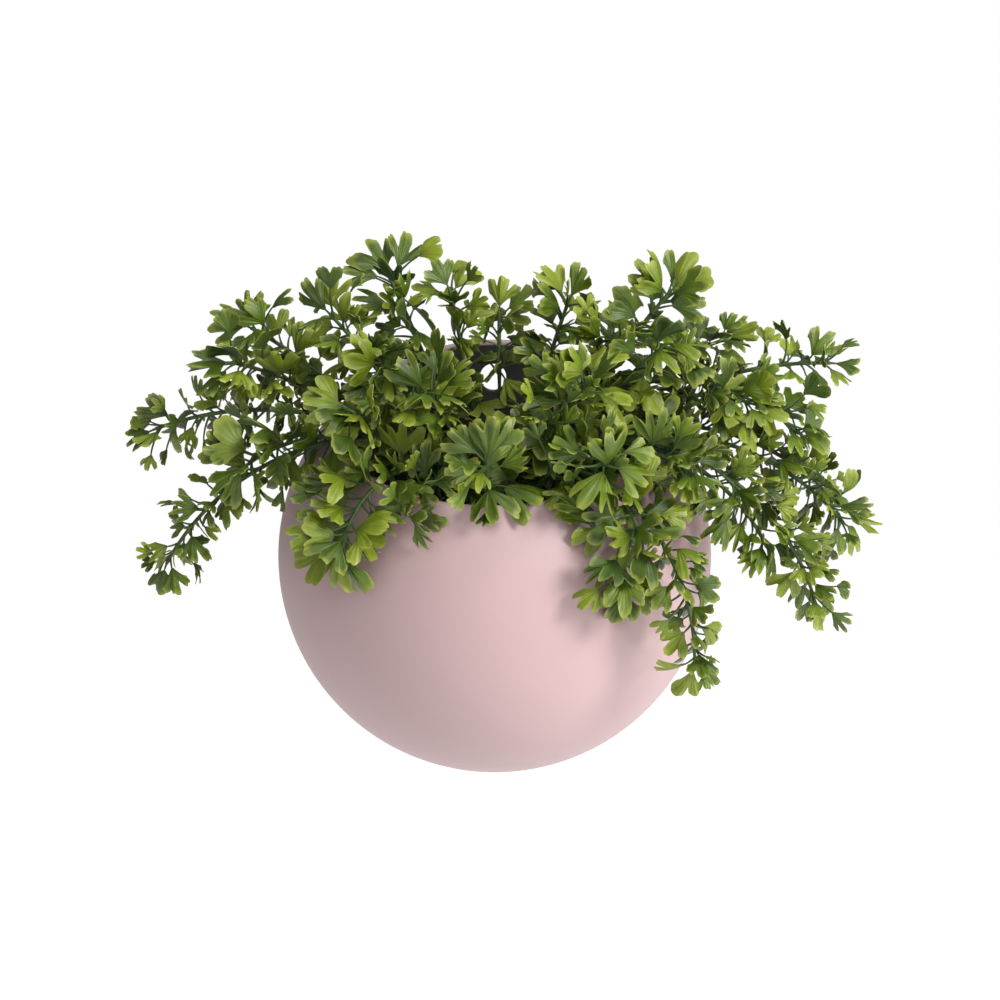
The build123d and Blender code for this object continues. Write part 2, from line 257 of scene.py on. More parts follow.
class Stem:
    """Two arcs that meet smoothly over the mouth, from a hole in the foam to the sprig's tip."""

    def __init__(self, root, over, tip):
        first = unit(along(over, root, -1))
        second = unit(along(tip, over, -1))
        heading = unit(along(second, first, first_heading_share))
        self.root = root
        self.tip = tip
        self.lower = Arc(over, scaled(heading, -1), root)
        self.upper = Arc(over, heading, tip)
        self.length = self.lower.length + self.upper.length
        runs = max(fewest_runs, round(self.length / stem_run))
        self.joints = [self.point(self.length * i / runs) for i in range(1, runs + 1)]
        self.inward = unit(along(root, self.joints[0], -1))

    def point(self, distance):
        past = distance - self.lower.length
        return self.lower.point(-past) if past < 0 else self.upper.point(past)

    def frame(self, distance):
        past = distance - self.lower.length
        ahead = scaled(self.lower.ahead(-past), -1) if past < 0 else self.upper.ahead(past)
        across = unit(cross(ahead, open_side))
        return ahead, across, cross(across, ahead)

    def peg_samples(self):
        steps = int(peg_depth / sample_pitch) + 1
        return [along(self.root, self.inward, peg_depth * i / steps) for i in range(1, steps + 1)]

    def samples(self):
        steps = int(self.length / sample_pitch) + 1
        return [self.point(self.length * i / steps) for i in range(steps + 1)]


class Leaf:
    """A fan-shaped leaf on its petiole, with x across the leaf, y along it and z out of its face."""

    def __init__(self, root, direction, petiole, size, face):
        self.root = root
        self.y = unit(direction)
        self.z = unit(along(face, self.y, -dot(face, self.y)))
        self.x = cross(self.y, self.z)
        self.petiole = petiole
        self.base = along(root, self.y, petiole)
        self.size = size

    def stalk_samples(self):
        return [along(self.root, self.y, self.petiole * share) for share in petiole_samples]

    def blade_samples(self):
        rows = int(self.size / sample_pitch) + 1
        points = []
        for row in range(rows + 1):
            reach = self.size * row / rows
            steps = int(reach * radians(2 * leaf_half_angle) / sample_pitch) + 1
            for step in range(steps + 1):
                angle = radians(leaf_half_angle) * (2 * step / steps - 1)
                point = along(self.base, self.x, reach * sin(angle))
                points.append(along(point, self.y, reach * cos(angle)))
        return points


class Crowd:
    """Points that are taken, sorted into cells, each with the sprig that it belongs to."""

    def __init__(self, gap):
        self.gap = gap
        self.cells = {}

    def cell(self, point):
        return tuple(int(c // self.gap) for c in point)

    def put(self, points, owner):
        for point in points:
            self.cells.setdefault(self.cell(point), []).append((point, owner))

    def free(self, points, owner):
        return not any(self.touched(point, owner) for point in points)

    def touched(self, point, owner):
        x, y, z = self.cell(point)
        for i in (x - 1, x, x + 1):
            for j in (y - 1, y, y + 1):
                for k in (z - 1, z, z + 1):
                    for other, who in self.cells.get((i, j, k), ()):
                        if who != owner and length(along(point, other, -1)) < self.gap:
                            return True
        return False


def foam_holes():
    """The holes in the foam, in staggered rows, as (across, down) on its top."""
    margin = foam_edge_round + stem_radius
    holes = []
    for row in range(-rows_each_side, rows_each_side + 1):
        for column in range(-holes_each_side, holes_each_side + 1):
            across = hole_pitch * (column + 0.5 * (row % 2))
            down = foam_middle + hole_row_pitch * row
            if sqrt(across**2 + down**2) > foam_radius - margin:
                continue
            if not in_finger_room(mouth_point(across, down, foam_top), stem_clearance):
                holes.append((across, down))
    return holes


def stem_from(hole, reach, rise):
    """The stem from a hole in the foam, over the lip, to the tip at reach from the globe's centre."""
    across, down = hole
    across_end, down_end, height = reach[0], dot(reach, downhill), dot(reach, lift)
    from_axis = sqrt(across_end**2 + down_end**2)
    share = (mouth_offset + rise_over_lip - foam_top) / (height - foam_top)
    over_across = across + (across_end - across) * share
    over_down = down + (down_end - down) * share
    upright = height > mouth_offset + upright_margin
    if upright and sqrt(over_across**2 + over_down**2) < mouth_inner:
        over_across *= crossing_share
        over_down = mouth_middle + crossing_share * (over_down - mouth_middle) - rise_step
    else:
        over_across = across_end / from_axis * (mouth_inner + rise_step)
        over_down = down_end / from_axis * (mouth_inner + rise_step)
    over = mouth_point(over_across, over_down, mouth_offset + rise_over_lip + rise)
    return Stem(mouth_point(across, down, foam_top), over, add(centre, reach))


def grow_stem(name, tip, free_holes, stems_taken):
    """The lowest stem that clears the pot and the stems before it, or the highest one tried."""
    across_wish = hole_across_share * tip[0]
    down_wish = foam_middle + hole_out_share * (-tip[1] - usual_out) + hole_down_share * (usual_up - tip[2])
    near = sorted(free_holes, key=lambda h: (h[0] - across_wish) ** 2 + (h[1] - down_wish) ** 2)
    reach = scaled(tip, globe_radius / 100)
    for attempt, hole in product(range(rises_tried), near[:holes_tried]):
        stem = stem_from(hole, reach, rise_step * attempt)
        points = stem.samples()
        if not all(clear_of_pot(p, stem_clearance) for p in points):
            continue
        if stems_taken.free(points + stem.peg_samples(), name):
            break
    free_holes.remove(hole)
    return stem


def grow_leaves(name, stem, leaf_length, pairs, step, taken):
    """Opposite pairs from the tip down, each pair turned a quarter against the last."""
    chance = Random(name)
    outward = unit(along(stem.tip, mouth_point(0.0, foam_middle, foam_top), -1))
    face = unit(along(leaf_facing, outward, facing_outward))
    own_blades = Crowd(blade_gap)
    leaves = []

    def grow(distance, direction, petiole, size):
        for attempt in range(leaf_tries):
            spread = facing_spread + facing_spread_step * attempt
            tilt = tuple(chance.uniform(-spread, spread) for _ in range(3))
            swing = tuple(swing_step * attempt * chance.uniform(-1, 1) for _ in range(3))
            leaf = Leaf(stem.point(distance), add(direction, swing), petiole, size, add(face, tilt))
            blade = leaf.blade_samples()
            points = leaf.stalk_samples() + blade
            if not all(clear_of_pot(p, leaf_clearance) for p in points):
                continue
            if taken.free(points, name) and own_blades.free(blade, leaf):
                taken.put(points, name)
                own_blades.put(blade, leaf)
                leaves.append(leaf)
                return

    ahead, across, bend = stem.frame(stem.length)
    grow(stem.length, along(ahead, across, chance.uniform(-side_swing, side_swing)), end_petiole, leaf_length)
    distance = stem.length - step * first_pair_step
    for pair in range(pairs):
        if pair:
            distance -= step * (pair_step + pair_step_growth * pair)
        if distance < leafless_share * stem.length:
            break
        ahead, across, bend = stem.frame(distance)
        side, other = (across, bend) if pair % 2 == 0 else (bend, across)
        opening = radians(min(pair_opening + pair_opening_growth * pair, pair_opening_most))
        for sign in (-1, 1):
            out = unit(along(scaled(side, sign), other, chance.uniform(-side_swing, side_swing)))
            direction = along(scaled(ahead, cos(opening)), out, sin(opening))
            petiole = leaf_length * petiole_share + chance.uniform(0, petiole_spread)
            grow(distance, direction, petiole, leaf_length * chance.uniform(leaf_least, leaf_most))
    return leaves


def grow_plant():
    """Every sprig's stem and leaves: first all the stems, then the leaves in the room that is left."""
    free_holes = foam_holes()
    stems_taken = Crowd(stem_gap)
    taken = Crowd(leaf_gap)
    stems = {}
    for name, tip, leaf_length, pairs, step in SPRIGS:
        stem = grow_stem(name, tip, free_holes, stems_taken)
        points = stem.samples() + stem.peg_samples()
        stems_taken.put(points, name)
        taken.put(points, name)
        stems[name] = stem
    return {
        name: (stems[name], grow_leaves(name, stems[name], leaf_length, pairs, step, taken))
        for name, tip, leaf_length, pairs, step in SPRIGS
    }


# Finishes. The shaders work in metres, and the sizes here are in millimetres.
MM = 0.001
STEM, UPPER_SIDE, LOWER_SIDE = 0, 1, 2

# A colour mix takes its share at socket 0 and its colours at 6 and 7, and gives the mixed colour at output 2
SHARE, FIRST, SECOND, MIXED = 0, 6, 7, 2

# The glaze: its clouds, its grain, which is drawn coarser than the real one so that it shows, and the line on
# the lip where the pink meets the charcoal
glaze_cloud = 45.0
glaze_grain = 1.1
glaze_grain_depth = 0.15
glaze_line_inward = 0.45
glaze_line_outward = 0.3
glaze_line_half_width = 0.25
glaze_line_wobble = 0.6

# The foam's pores, drawn coarser than the real ones so that they show
foam_pore = 1.5
foam_pore_depth = 0.5

# The plastic: its mottles, and how far a leaf's own tone and its mottles carry it from the deep green to the
# bright one. The vein, foot and rim figures are shares of the deep green or of the rim's colour, and the
# starts are places on the blade, from 0 at its foot to 1 at its rim.
leaf_mottle = 7.0
stem_mottle = 9.0
own_tone_share = 0.62
mottle_share = 0.42
deep_stop = 0.12
usual_stop = 0.5
bright_stop = 0.95
leaf_veins = 9
vein_start = 0.45
vein_share = 0.17
vein_depth = 0.2
foot_end = 0.5
foot_share = 0.55
# The rim's paler colour is painted light, shining through the thin plastic at the leaf's edge
backlit_rim_start = 0.80
backlit_rim_share = 0.55


def linear(hex_colour):
    """An sRGB hex colour as the linear values that the shader takes."""
    shades = [int(hex_colour[i : i + 2], 16) / 255 for i in (1, 3, 5)]
    return tuple(s / 12.92 if s <= 0.04045 else ((s + 0.055) / 1.055) ** 2.4 for s in shades) + (1.0,)


def add_node(tree, kind, inputs=None, **settings):
    """Adds a node with its settings, and gives its inputs their values or links."""
    made = tree.nodes.new(kind)
    for name, value in settings.items():
        setattr(made, name, value)
    for socket, value in (inputs or {}).items():
        if isinstance(value, bpy.types.NodeSocket):
            tree.links.new(value, made.inputs[socket])
        else:
            made.inputs[socket].default_value = value
    return made


def new_finish(name, **constants):
    """A material with its shader's fixed values, its node tree and its shader."""
    material = bpy.data.materials.new(name)
    material.use_nodes = True
    tree = material.node_tree
    shader = tree.nodes["Principled BSDF"]
    for socket, value in constants.items():
        shader.inputs[socket.replace("_", " ")].default_value = value
    return material, tree, shader


def per_metre(millimetres):
    """The pattern scale that repeats at this real size."""
    return 1000 / millimetres


# Slip-cast earthenware under a matt glaze: pink outside, charcoal inside, with the glaze line running round
# the lip. The eye gets a broad soft shine, a faint cloudiness where the glaze pooled, and a fine grain.
def matt_two_tone_glaze():
    material, tree, shader = new_finish("matt_two_tone_glaze", IOR=1.75)
    place = add_node(tree, "ShaderNodeTexCoord").outputs["Object"]
    cloud = add_node(
        tree, "ShaderNodeTexNoise", {"Vector": place, "Scale": per_metre(glaze_cloud), "Detail": 3.0}
    ).outputs["Fac"]
    grain = add_node(
        tree, "ShaderNodeTexNoise", {"Vector": place, "Scale": per_metre(glaze_grain), "Detail": 2.0}
    ).outputs["Fac"]
    globe_middle = tuple(c * MM for c in centre)
    from_middle = add_node(
        tree, "ShaderNodeVectorMath", {0: place, 1: globe_middle}, operation="DISTANCE"
    ).outputs["Value"]
    wobble = add_node(
        tree,
        "ShaderNodeMath",
        {0: cloud, 1: glaze_line_wobble * MM, 2: from_middle},
        operation="MULTIPLY_ADD",
    ).outputs[0]
    line = (globe_radius - glaze_line_inward * wall + glaze_line_outward) * MM
    half_width = glaze_line_half_width * MM
    outside = add_node(
        tree,
        "ShaderNodeMapRange",
        {"Value": wobble, "From Min": line - half_width, "From Max": line + half_width},
    ).outputs[0]
    depth = add_node(tree, "ShaderNodeSeparateXYZ", {"Vector": place}).outputs["Y"]
    back = add_node(
        tree, "ShaderNodeMath", {0: depth, 1: -back_plate / 2 * MM}, operation="GREATER_THAN"
    ).outputs[0]
    pink_part = add_node(tree, "ShaderNodeMath", {0: outside, 1: back}, operation="MAXIMUM").outputs[0]
    pink = add_node(
        tree,
        "ShaderNodeMix",
        {SHARE: cloud, FIRST: linear("#C8A6A7"), SECOND: linear("#CEAEAF")},
        data_type="RGBA",
    ).outputs[MIXED]
    charcoal = add_node(
        tree,
        "ShaderNodeMix",
        {SHARE: cloud, FIRST: linear("#24231F"), SECOND: linear("#2F2E2A")},
        data_type="RGBA",
    ).outputs[MIXED]
    colour = add_node(
        tree, "ShaderNodeMix", {SHARE: pink_part, FIRST: charcoal, SECOND: pink}, data_type="RGBA"
    ).outputs[MIXED]
    speckle = add_node(
        tree, "ShaderNodeMapRange", {"Value": grain, "To Min": 0.985, "To Max": 1.015}
    ).outputs[0]
    fine = add_node(
        tree,
        "ShaderNodeMix",
        {SHARE: 1.0, FIRST: colour, SECOND: speckle},
        data_type="RGBA",
        blend_type="MULTIPLY",
    ).outputs[MIXED]
    rough = add_node(tree, "ShaderNodeMapRange", {"Value": cloud, "To Min": 0.48, "To Max": 0.56}).outputs[0]
    bump = add_node(
        tree, "ShaderNodeBump", {"Strength": 0.12, "Distance": glaze_grain_depth * MM, "Height": grain}
    ).outputs[0]
    tree.links.new(fine, shader.inputs["Base Color"])
    tree.links.new(rough, shader.inputs["Roughness"])
    tree.links.new(bump, shader.inputs["Normal"])
    return material


# Dry florists' foam, dyed dark: open pores that swallow the light.
def dyed_flower_foam():
    material, tree, shader = new_finish("dyed_flower_foam", Roughness=0.95)
    place = add_node(tree, "ShaderNodeTexCoord").outputs["Object"]
    pores = add_node(
        tree, "ShaderNodeTexVoronoi", {"Vector": place, "Scale": per_metre(foam_pore)}
    ).outputs["Distance"]
    tone = add_node(
        tree,
        "ShaderNodeMix",
        {SHARE: pores, FIRST: linear("#1D1C17"), SECOND: linear("#38362C")},
        data_type="RGBA",
    ).outputs[MIXED]
    bump = add_node(
        tree, "ShaderNodeBump", {"Strength": 0.6, "Distance": foam_pore_depth * MM, "Height": pores}
    ).outputs[0]
    tree.links.new(tone, shader.inputs["Base Color"])
    tree.links.new(bump, shader.inputs["Normal"])
    return material


# Moulded polyethylene leaf: fresh green with radiating veins, a paler rim painted as light shining through
# the thin plastic there, a deeper foot, and each leaf a little off the next in tone. The lower side is duller
# and bluer.
def moulded_leaf(name, deep, usual, bright, rim, roughness):
    material, tree, shader = new_finish(name, Roughness=roughness, IOR=1.5)
    leaf_map = add_node(tree, "ShaderNodeUVMap", uv_map="leaf").outputs[0]
    leaf_place = add_node(tree, "ShaderNodeSeparateXYZ", {"Vector": leaf_map})
    across, reach = leaf_place.outputs["X"], leaf_place.outputs["Y"]
    place = add_node(tree, "ShaderNodeTexCoord").outputs["Object"]
    mottle = add_node(
        tree, "ShaderNodeTexNoise", {"Vector": place, "Scale": per_metre(leaf_mottle), "Detail": 3.0}
    ).outputs["Fac"]
    own_tone = add_node(tree, "ShaderNodeNewGeometry").outputs["Random Per Island"]
    tone = add_node(
        tree, "ShaderNodeMath", {0: own_tone, 1: own_tone_share, 2: 0.0}, operation="MULTIPLY_ADD"
    ).outputs[0]
    mixed = add_node(
        tree, "ShaderNodeMath", {0: mottle, 1: mottle_share, 2: tone}, operation="MULTIPLY_ADD"
    ).outputs[0]
    body = add_node(tree, "ShaderNodeValToRGB", {"Fac": mixed})
    stops = body.color_ramp.elements
    stops[0].position, stops[0].color = deep_stop, linear(deep)
    stops[1].position, stops[1].color = bright_stop, linear(bright)
    middle = stops.new(usual_stop)
    middle.color = linear(usual)
    swing = add_node(
        tree, "ShaderNodeMath", {0: across, 1: 2 * pi * leaf_veins}, operation="MULTIPLY"
    ).outputs[0]
    vein = add_node(tree, "ShaderNodeMath", {0: swing}, operation="COSINE").outputs[0]
    vein_line = add_node(
        tree,
        "ShaderNodeMapRange",
        {"Value": vein, "From Min": vein_start, "From Max": 1.0, "To Max": vein_share},
    ).outputs[0]
    veined = add_node(
        tree,
        "ShaderNodeMix",
        {SHARE: vein_line, FIRST: body.outputs[0], SECOND: linear(deep)},
        data_type="RGBA",
    ).outputs[MIXED]
    foot = add_node(
        tree,
        "ShaderNodeMapRange",
        {"Value": reach, "From Min": foot_end, "From Max": 0.0, "To Max": foot_share},
    ).outputs[0]
    footed = add_node(
        tree, "ShaderNodeMix", {SHARE: foot, FIRST: veined, SECOND: linear(deep)}, data_type="RGBA"
    ).outputs[MIXED]
    # Painted light: the blade turns paler towards its rim, as though lit through the thin plastic there
    backlit_rim = add_node(
        tree,
        "ShaderNodeMapRange",
        {"Value": reach, "From Min": backlit_rim_start, "From Max": 1.0, "To Max": backlit_rim_share},
    ).outputs[0]
    backlit_rimmed = add_node(
        tree, "ShaderNodeMix", {SHARE: backlit_rim, FIRST: footed, SECOND: linear(rim)}, data_type="RGBA"
    ).outputs[MIXED]
    bump = add_node(
        tree, "ShaderNodeBump", {"Strength": 0.35, "Distance": vein_depth * MM, "Height": vein}
    ).outputs[0]
    tree.links.new(backlit_rimmed, shader.inputs["Base Color"])
    tree.links.new(bump, shader.inputs["Normal"])
    return material


# Moulded polyethylene stem: the leaves' plastic in a darker, duller green, faintly mottled.
def moulded_stem():
    material, tree, shader = new_finish("moulded_stem", Roughness=0.5, IOR=1.5)
    place = add_node(tree, "ShaderNodeTexCoord").outputs["Object"]
    mottle = add_node(
        tree, "ShaderNodeTexNoise", {"Vector": place, "Scale": per_metre(stem_mottle), "Detail": 2.0}
    ).outputs["Fac"]
    tone = add_node(
        tree,
        "ShaderNodeMix",
        {SHARE: mottle, FIRST: linear("#2C3E19"), SECOND: linear("#4F6A2E")},
        data_type="RGBA",
    ).outputs[MIXED]
    tree.links.new(tone, shader.inputs["Base Color"])
    return material


# The visible sprigs, moulded finer than their solids
stem_tip_radius = 0.6
stem_sides = 8
node_swell = 0.35
node_reach = 1.6
petiole_end_radius = 0.34
petiole_sides = 6
petiole_steps = 6
blade_thickness = 0.45
blade_thinning = 0.55
blade_across = 36
blade_along = 6
foot_half_width = 0.5
sharp_edge = radians(55)
fewest_stem_steps = 8
stem_step = 3.0

# Where a petiole bends and how far it runs into the blade, as shares of its own length and the blade's
petiole_knee_at = 0.45
petiole_knee_forward = 0.16
petiole_into_blade = 0.12

# What each leaf's own form is drawn from. Lengths are shares of the blade's length, notches are placed and as
# wide as shares of half the fan, and angles are in degrees.
lobe_choices = (2, 3, 3, 3, 4)
half_angles = (44, 66)
notch_shift = 0.09
notch_depths = (0.20, 0.50)
notch_widths = (0.07, 0.12)
lobe_reaches = (0.86, 1.04)
tooth_choices = (2, 3, 3, 4)
droops = (-0.05, 0.48)
folds = (-0.30, 0.60)
waves = (0.03, 0.13)
curls = (-0.24, 0.30)
pleat_choices = (7, 9, 11)
corner_reaches = (0.50, 0.78)

# What all leaves share: how round a lobe is, how sharply the corners fall off, the teeth along the rim, and
# how the fan's spread and its fold grow from the foot to the rim
lobe_rounding = 0.14
corner_sharpness = 5
tooth_height = 0.055
tooth_level = 0.030
spread_at_foot = 0.72
spread_to_rim = 0.28
fold_at_foot = 0.4
fold_to_rim = 0.6
pleat_height = 0.004


class SprigMesh:
    """Vertices, faces, finishes and leaf coordinates of one sprig while it is built up."""

    def __init__(self):
        self.points = []
        self.faces = []
        self.finish = []
        self.places = []

    def grid(self, rings, finish, places, closed):
        """Quads between rings of equal length. Closed rings join end to start."""
        first = len(self.points)
        count = len(rings[0])
        for ring, row in zip(rings, places):
            self.points += ring
            self.places += row
        for i in range(len(rings) - 1):
            for j in range(count if closed else count - 1):
                k = (j + 1) % count
                low, high = first + i * count, first + (i + 1) * count
                self.faces.append((low + j, low + k, high + k, high + j))
                self.finish.append(finish)
        return first

    def tube(self, line, radii, sides, side_way):
        """A round bar along a line, closed at both ends."""
        rings = []
        across = side_way
        for i, place in enumerate(line):
            before, after = line[max(i - 1, 0)], line[min(i + 1, len(line) - 1)]
            ahead = unit(along(after, before, -1))
            across = unit(along(across, ahead, -dot(across, ahead)))
            up = cross(ahead, across)
            ring = []
            for j in range(sides):
                turn = 2 * pi * j / sides
                point = along(place, across, radii[i] * cos(turn))
                ring.append(along(point, up, radii[i] * sin(turn)))
            rings.append(ring)
        places = [[(j / sides, i / len(rings)) for j in range(sides)] for i in range(len(rings))]
        first = self.grid(rings, STEM, places, closed=True)
        last = first + (len(rings) - 1) * sides
        self.faces.append(tuple(first + j for j in reversed(range(sides))))
        self.faces.append(tuple(last + j for j in range(sides)))
        self.finish += [STEM, STEM]

    def blade(self, leaf, style):
        """A fan with notched, scalloped lobes, bent and pleated, closed all round."""
        upper, lower, places = [], [], []
        for i in range(blade_along + 1):
            reach = i / blade_along
            upper_row, lower_row, place_row = [], [], []
            for j in range(blade_across + 1):
                across = 2 * j / blade_across - 1
                x, y, z = style.surface(across, reach, leaf.size)
                middle = along(along(along(leaf.base, leaf.x, x), leaf.y, y), leaf.z, z)
                half = blade_thickness / 2 * (1 - blade_thinning * reach**3)
                upper_row.append(along(middle, leaf.z, half))
                lower_row.append(along(middle, leaf.z, -half))
                place_row.append((0.5 + 0.5 * across, reach))
            upper.append(upper_row)
            lower.append(lower_row)
            places.append(place_row)
        top = self.grid(upper, UPPER_SIDE, places, closed=False)
        bottom = self.grid(lower, LOWER_SIDE, places, closed=False)
        count = blade_across + 1
        first_lower = len(self.faces) - blade_along * blade_across
        for k in range(first_lower, len(self.faces)):
            self.faces[k] = tuple(reversed(self.faces[k]))
        rim = [i * count for i in range(blade_along + 1)]
        rim += [blade_along * count + j for j in range(1, count)]
        rim += [i * count + count - 1 for i in reversed(range(blade_along))]
        rim += [j for j in reversed(range(1, count - 1))]
        for a, b in zip(rim, rim[1:] + rim[:1]):
            self.faces.append((top + a, top + b, bottom + b, bottom + a))
            self.finish.append(UPPER_SIDE)

    def finished(self, name):
        mesh = bpy.data.meshes.new(name)
        mesh.from_pydata([scaled(p, MM) for p in self.points], [], self.faces)
        for material in (stem_plastic, leaf_upper_side, leaf_lower_side):
            mesh.materials.append(material)
        mesh.polygons.foreach_set("material_index", self.finish)
        mesh.polygons.foreach_set("use_smooth", [True] * len(self.faces))
        leaf_map = mesh.uv_layers.new(name="leaf")
        corners = [0] * len(mesh.loops)
        mesh.loops.foreach_get("vertex_index", corners)
        leaf_map.data.foreach_set("uv", [c for v in corners for c in self.places[v]])
        mesh.set_sharp_from_angle(angle=sharp_edge)
        mesh.validate()
        made = bpy.data.objects.new(name, mesh)
        bpy.context.scene.collection.objects.link(made)
        return made


class BladeStyle:
    """How one leaf differs from the next: its lobes, its notches and the way it bends."""

    def __init__(self, chance):
        self.lobes = chance.choice(lobe_choices)
        self.half_angle = radians(chance.uniform(*half_angles))
        self.notches = [
            (
                2 * i / self.lobes - 1 + chance.uniform(-notch_shift, notch_shift),
                chance.uniform(*notch_depths),
            )
            for i in range(1, self.lobes)
        ]
        self.notch_width = chance.uniform(*notch_widths)
        self.lobe_reach = [chance.uniform(*lobe_reaches) for _ in range(self.lobes)]
        self.teeth = chance.choice(tooth_choices)
        self.droop = chance.uniform(*droops)
        self.fold = chance.uniform(*folds)
        self.wave = chance.uniform(*waves)
        self.wave_start = chance.uniform(0, 2 * pi)
        self.curl = chance.uniform(*curls)
        self.pleats = chance.choice(pleat_choices)
        self.corner = chance.uniform(*corner_reaches)

    def outline(self, across):
        """The blade's reach towards this side, as a share of its size."""
        lobe = (across + 1) / 2 * self.lobes
        number = min(int(lobe), self.lobes - 1)
        in_lobe = 2 * (lobe - number) - 1
        reach = 1 - (1 - self.lobe_reach[number]) * (1 - in_lobe**2) - lobe_rounding * in_lobe**2
        reach -= (1 - self.corner) * abs(across) ** corner_sharpness
        for place, depth in self.notches:
            reach -= depth * exp(-(((across - place) / self.notch_width) ** 2))
        return reach + tooth_height * abs(cos(pi * self.teeth * lobe)) - tooth_level

    def surface(self, across, reach, size):
        """A point of the blade in its own directions."""
        spread = across * self.half_angle * (spread_at_foot + spread_to_rim * reach)
        far = reach * (1 + (self.outline(across) - 1) * reach**2)
        x = foot_half_width * across * (1 - reach) + far * size * sin(spread)
        y = far * size * cos(spread)
        z = -self.droop * size * far**2
        z -= self.fold * abs(x) * (fold_at_foot + fold_to_rim * far)
        z += self.wave * size * far**2 * sin(self.wave_start + across * pi * self.lobes)
        z += self.curl * size * far**3 * across
        z += pleat_height * size * far * cos(across * pi * self.pleats)
        return x, y, z


def bent_petiole(leaf, ahead):
    """The petiole's line, which leaves the stem leaning forward and meets the blade's foot."""
    knee = along(leaf.root, leaf.y, petiole_knee_at * leaf.petiole)
    knee = along(knee, ahead, petiole_knee_forward * leaf.petiole)
    end = along(leaf.base, leaf.y, petiole_into_blade * leaf.size)
    line = []
    for i in range(petiole_steps + 1):
        t = i / petiole_steps
        point = scaled(leaf.root, (1 - t) ** 2)
        point = along(point, knee, 2 * t * (1 - t))
        line.append(along(point, end, t**2))
    return line


def visible_sprig(name, stem, leaves):
    chance = Random(name + " blades")
    made = SprigMesh()
    steps = max(fewest_stem_steps, int(stem.length / stem_step))
    line = [along(stem.root, stem.inward, peg_depth)]
    radii = [stem_radius]
    for i in range(steps + 1):
        share = i / steps
        place = stem.point(stem.length * share)
        line.append(place)
        swell = sum(exp(-((length(along(leaf.root, place, -1)) / node_reach) ** 2)) for leaf in leaves)
        radius = stem_radius + (stem_tip_radius - stem_radius) * share
        radii.append(radius * (1 + node_swell * min(swell, 1)))
    made.tube(line, radii, stem_sides, (1.0, 0.0, 0.0))
    for leaf in leaves:
        style = BladeStyle(chance)
        ahead = stem.frame(stem.length)[0]
        bar = bent_petiole(leaf, ahead)
        thinning = (petiole_end_radius - petiole_radius) / petiole_steps
        widths = [petiole_radius + thinning * i for i in range(petiole_steps + 1)]
        made.tube(bar, widths, petiole_sides, leaf.x)
        made.blade(leaf, style)
    return made.finished("moulded_" + name)


# The smaller leaves that crowd between each sprig's own, with sizes, petioles and steps as shares or
# millimetres. They stay off the hanging hole and the stretch over the lip on the right of the middle.
fine_gap = 1.35
fine_step = 3.0
fine_step_share = (0.6, 1.1)
fine_from_tip = 3.0
fine_bare_share = 0.34
fine_least = 0.52
fine_most = 0.86
fine_tries = 14
fine_opening = (35, 80)
fine_tilt = 0.85
fine_petiole = (0.25, 1.15)
hole_window = 12.0
lip_window_across = (8.0, 50.0)
lip_window_out = 62.0
lip_window_above = (12.0, 46.0)


def in_a_window(point):
    """True in front of the hanging hole and over the lip's open stretch, which the finer leaves stay off."""
    across, out, above = point[0], -point[1], point[2] - centre[2]
    if abs(across) < hole_window and abs(point[2]) < hole_window:
        return True
    over_lip = lip_window_above[0] < above < lip_window_above[1] and out > lip_window_out
    return over_lip and lip_window_across[0] < across < lip_window_across[1]


def finer_leaves(plant):
    """More leaves along every stem, smaller than its own, wherever there is still room for one."""
    taken = Crowd(fine_gap)
    for name, (stem, leaves) in plant.items():
        taken.put(stem.samples(), name)
        for leaf in leaves:
            taken.put(leaf.blade_samples(), leaf)
    added = {}
    for name, tip, leaf_length, pairs, step in SPRIGS:
        stem = plant[name][0]
        chance = Random(name + " finer")
        outward = unit(along(stem.tip, mouth_point(0.0, foam_middle, foam_top), -1))
        face = unit(along(leaf_facing, outward, facing_outward))
        added[name] = []
        distance = stem.length - fine_from_tip
        while distance > fine_bare_share * stem.length:
            ahead, across, bend = stem.frame(distance)
            for attempt in range(fine_tries):
                turn = chance.uniform(0, 2 * pi)
                out = along(scaled(across, cos(turn)), bend, sin(turn))
                opening = radians(chance.uniform(*fine_opening))
                direction = along(scaled(ahead, cos(opening)), out, sin(opening))
                tilt = tuple(chance.uniform(-fine_tilt, fine_tilt) for _ in range(3))
                size = leaf_length * chance.uniform(fine_least, fine_most)
                petiole = leaf_length * chance.uniform(*fine_petiole)
                leaf = Leaf(stem.point(distance), direction, petiole, size, add(face, tilt))
                blade = leaf.blade_samples()
                if not all(clear_of_pot(p, leaf_clearance) for p in blade):
                    continue
                if any(in_a_window(p) for p in blade):
                    continue
                if taken.free(blade, leaf):
                    taken.put(blade, leaf)
                    added[name].append(leaf)
                    break
            distance -= fine_step * chance.uniform(*fine_step_share)
    return added


leaf_upper_side = moulded_leaf("leaf_upper_side", "#2C4006", "#5B730F", "#94A226", "#AEB450", 0.44)
leaf_lower_side = moulded_leaf("leaf_lower_side", "#273B12", "#475F1D", "#6B8130", "#8D9C52", 0.52)
stem_plastic = moulded_stem()

for name, finish in (("ceramic_shell", matt_two_tone_glaze()), ("foam_block", dyed_flower_foam())):
    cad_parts[name].data.materials.clear()
    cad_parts[name].data.materials.append(finish)

plant = grow_plant()
finer = finer_leaves(plant)
for name, (stem, leaves) in plant.items():
    shown = visible_sprig(name, stem, leaves + finer[name])
    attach(shown, "plant")
    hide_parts("sprig_" + name)


# The studio, in metres: a pale floor well below the hanging planter, white all round to the eye
WHITE = (1.0, 1.0, 1.0, 1.0)
floor_half_width = 6.0
floor_level = -0.62
floor_glow = 0.84
world_fill = 0.27


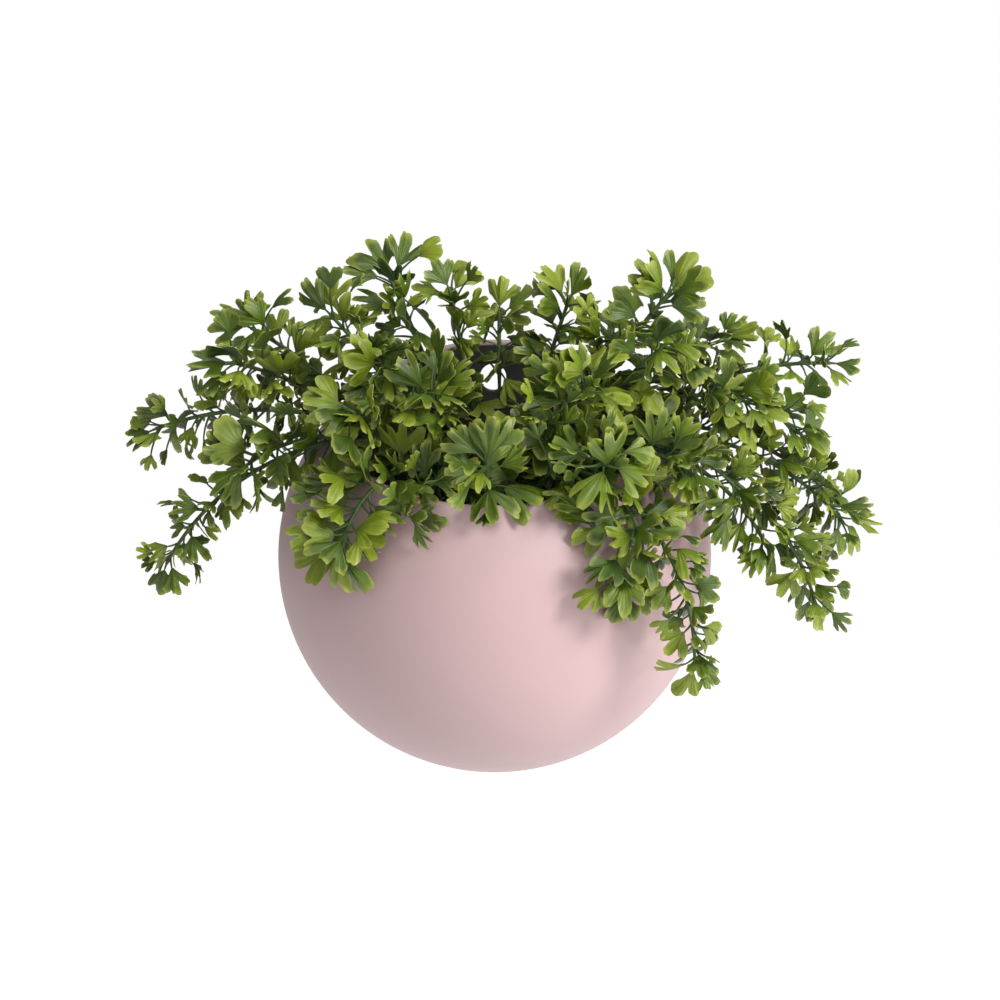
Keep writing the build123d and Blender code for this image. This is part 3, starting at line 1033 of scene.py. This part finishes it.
def studio_floor():
    mesh = bpy.data.meshes.new("studio_floor")
    half = floor_half_width
    corners = [(-half, -half), (half, -half), (half, half), (-half, half)]
    mesh.from_pydata([corner + (floor_level,) for corner in corners], [], [(0, 1, 2, 3)])
    floor = bpy.data.objects.new("studio_floor", mesh)
    bpy.context.scene.collection.objects.link(floor)
    material, tree, shader = new_finish("pale_studio_floor", Roughness=0.9)
    shader.inputs["Base Color"].default_value = linear("#F2F2F2")
    ray = add_node(tree, "ShaderNodeLightPath")
    shader.inputs["Emission Color"].default_value = WHITE
    camera_ray, glossy_ray = ray.outputs["Is Camera Ray"], ray.outputs["Is Glossy Ray"]
    seen = add_node(tree, "ShaderNodeMath", {0: camera_ray, 1: glossy_ray}, operation="MAXIMUM").outputs[0]
    glow = add_node(tree, "ShaderNodeMath", {0: seen, 1: floor_glow}, operation="MULTIPLY").outputs[0]
    tree.links.new(glow, shader.inputs["Emission Strength"])
    mesh.materials.append(material)


def studio_world():
    world = bpy.data.worlds.new("studio_white")
    bpy.context.scene.world = world
    world.use_nodes = True
    tree = world.node_tree
    tree.nodes.clear()
    ray = add_node(tree, "ShaderNodeLightPath")
    fill = add_node(tree, "ShaderNodeBackground", {"Color": WHITE, "Strength": world_fill})
    white = add_node(tree, "ShaderNodeBackground", {"Color": WHITE, "Strength": 1.0})
    seen = ray.outputs["Is Camera Ray"]
    both = add_node(tree, "ShaderNodeMixShader", {0: seen, 1: fill.outputs[0], 2: white.outputs[0]})
    add_node(tree, "ShaderNodeOutputWorld", {"Surface": both.outputs[0]})


def soft_box(name, place, aim, size, watts):
    lamp = bpy.data.lights.new(name, "AREA")
    lamp.shape = "DISK"
    lamp.size = size
    lamp.energy = watts
    made = bpy.data.objects.new(name, lamp)
    made.location = place
    made.rotation_euler = (Vector(aim) - Vector(place)).to_track_quat("-Z", "Y").to_euler()
    bpy.context.scene.collection.objects.link(made)


studio_floor()
studio_world()
looked_at = Vector((0.0, -0.030, centre[2] * MM))
soft_box("key_from_the_right", (0.95, -1.00, 0.45), looked_at, size=0.50, watts=15.0)
soft_box("right_side", (1.3, -0.35, -0.45), looked_at, size=0.8, watts=7.0)
soft_box("broad_front", (-0.2, -1.7, 0.5), looked_at, size=1.2, watts=5.0)
soft_box("top", (0.1, -0.35, 1.2), looked_at, size=0.8, watts=7.0)

# The camera, five degrees above the planter's middle, with the lens and shift that give the picture's framing
camera_distance = 1.5
camera_above = radians(5)
camera_roll = radians(-0.5)
lens = bpy.data.cameras.new("camera")
lens.lens = 118.96
lens.sensor_width = 36.0
lens.shift_x = 0.0053
lens.shift_y = 0.0616
camera = bpy.data.objects.new("camera", lens)
turned = Matrix.Rotation(radians(90) - camera_above, 4, "X") @ Matrix.Rotation(camera_roll, 4, "Z")
stand = looked_at + camera_distance * Vector((0.0, -cos(camera_above), sin(camera_above)))
camera.matrix_world = Matrix.Translation(stand) @ turned
bpy.context.scene.collection.objects.link(camera)
bpy.context.scene.camera = camera
bpy.context.scene.view_settings.view_transform = "Standard"
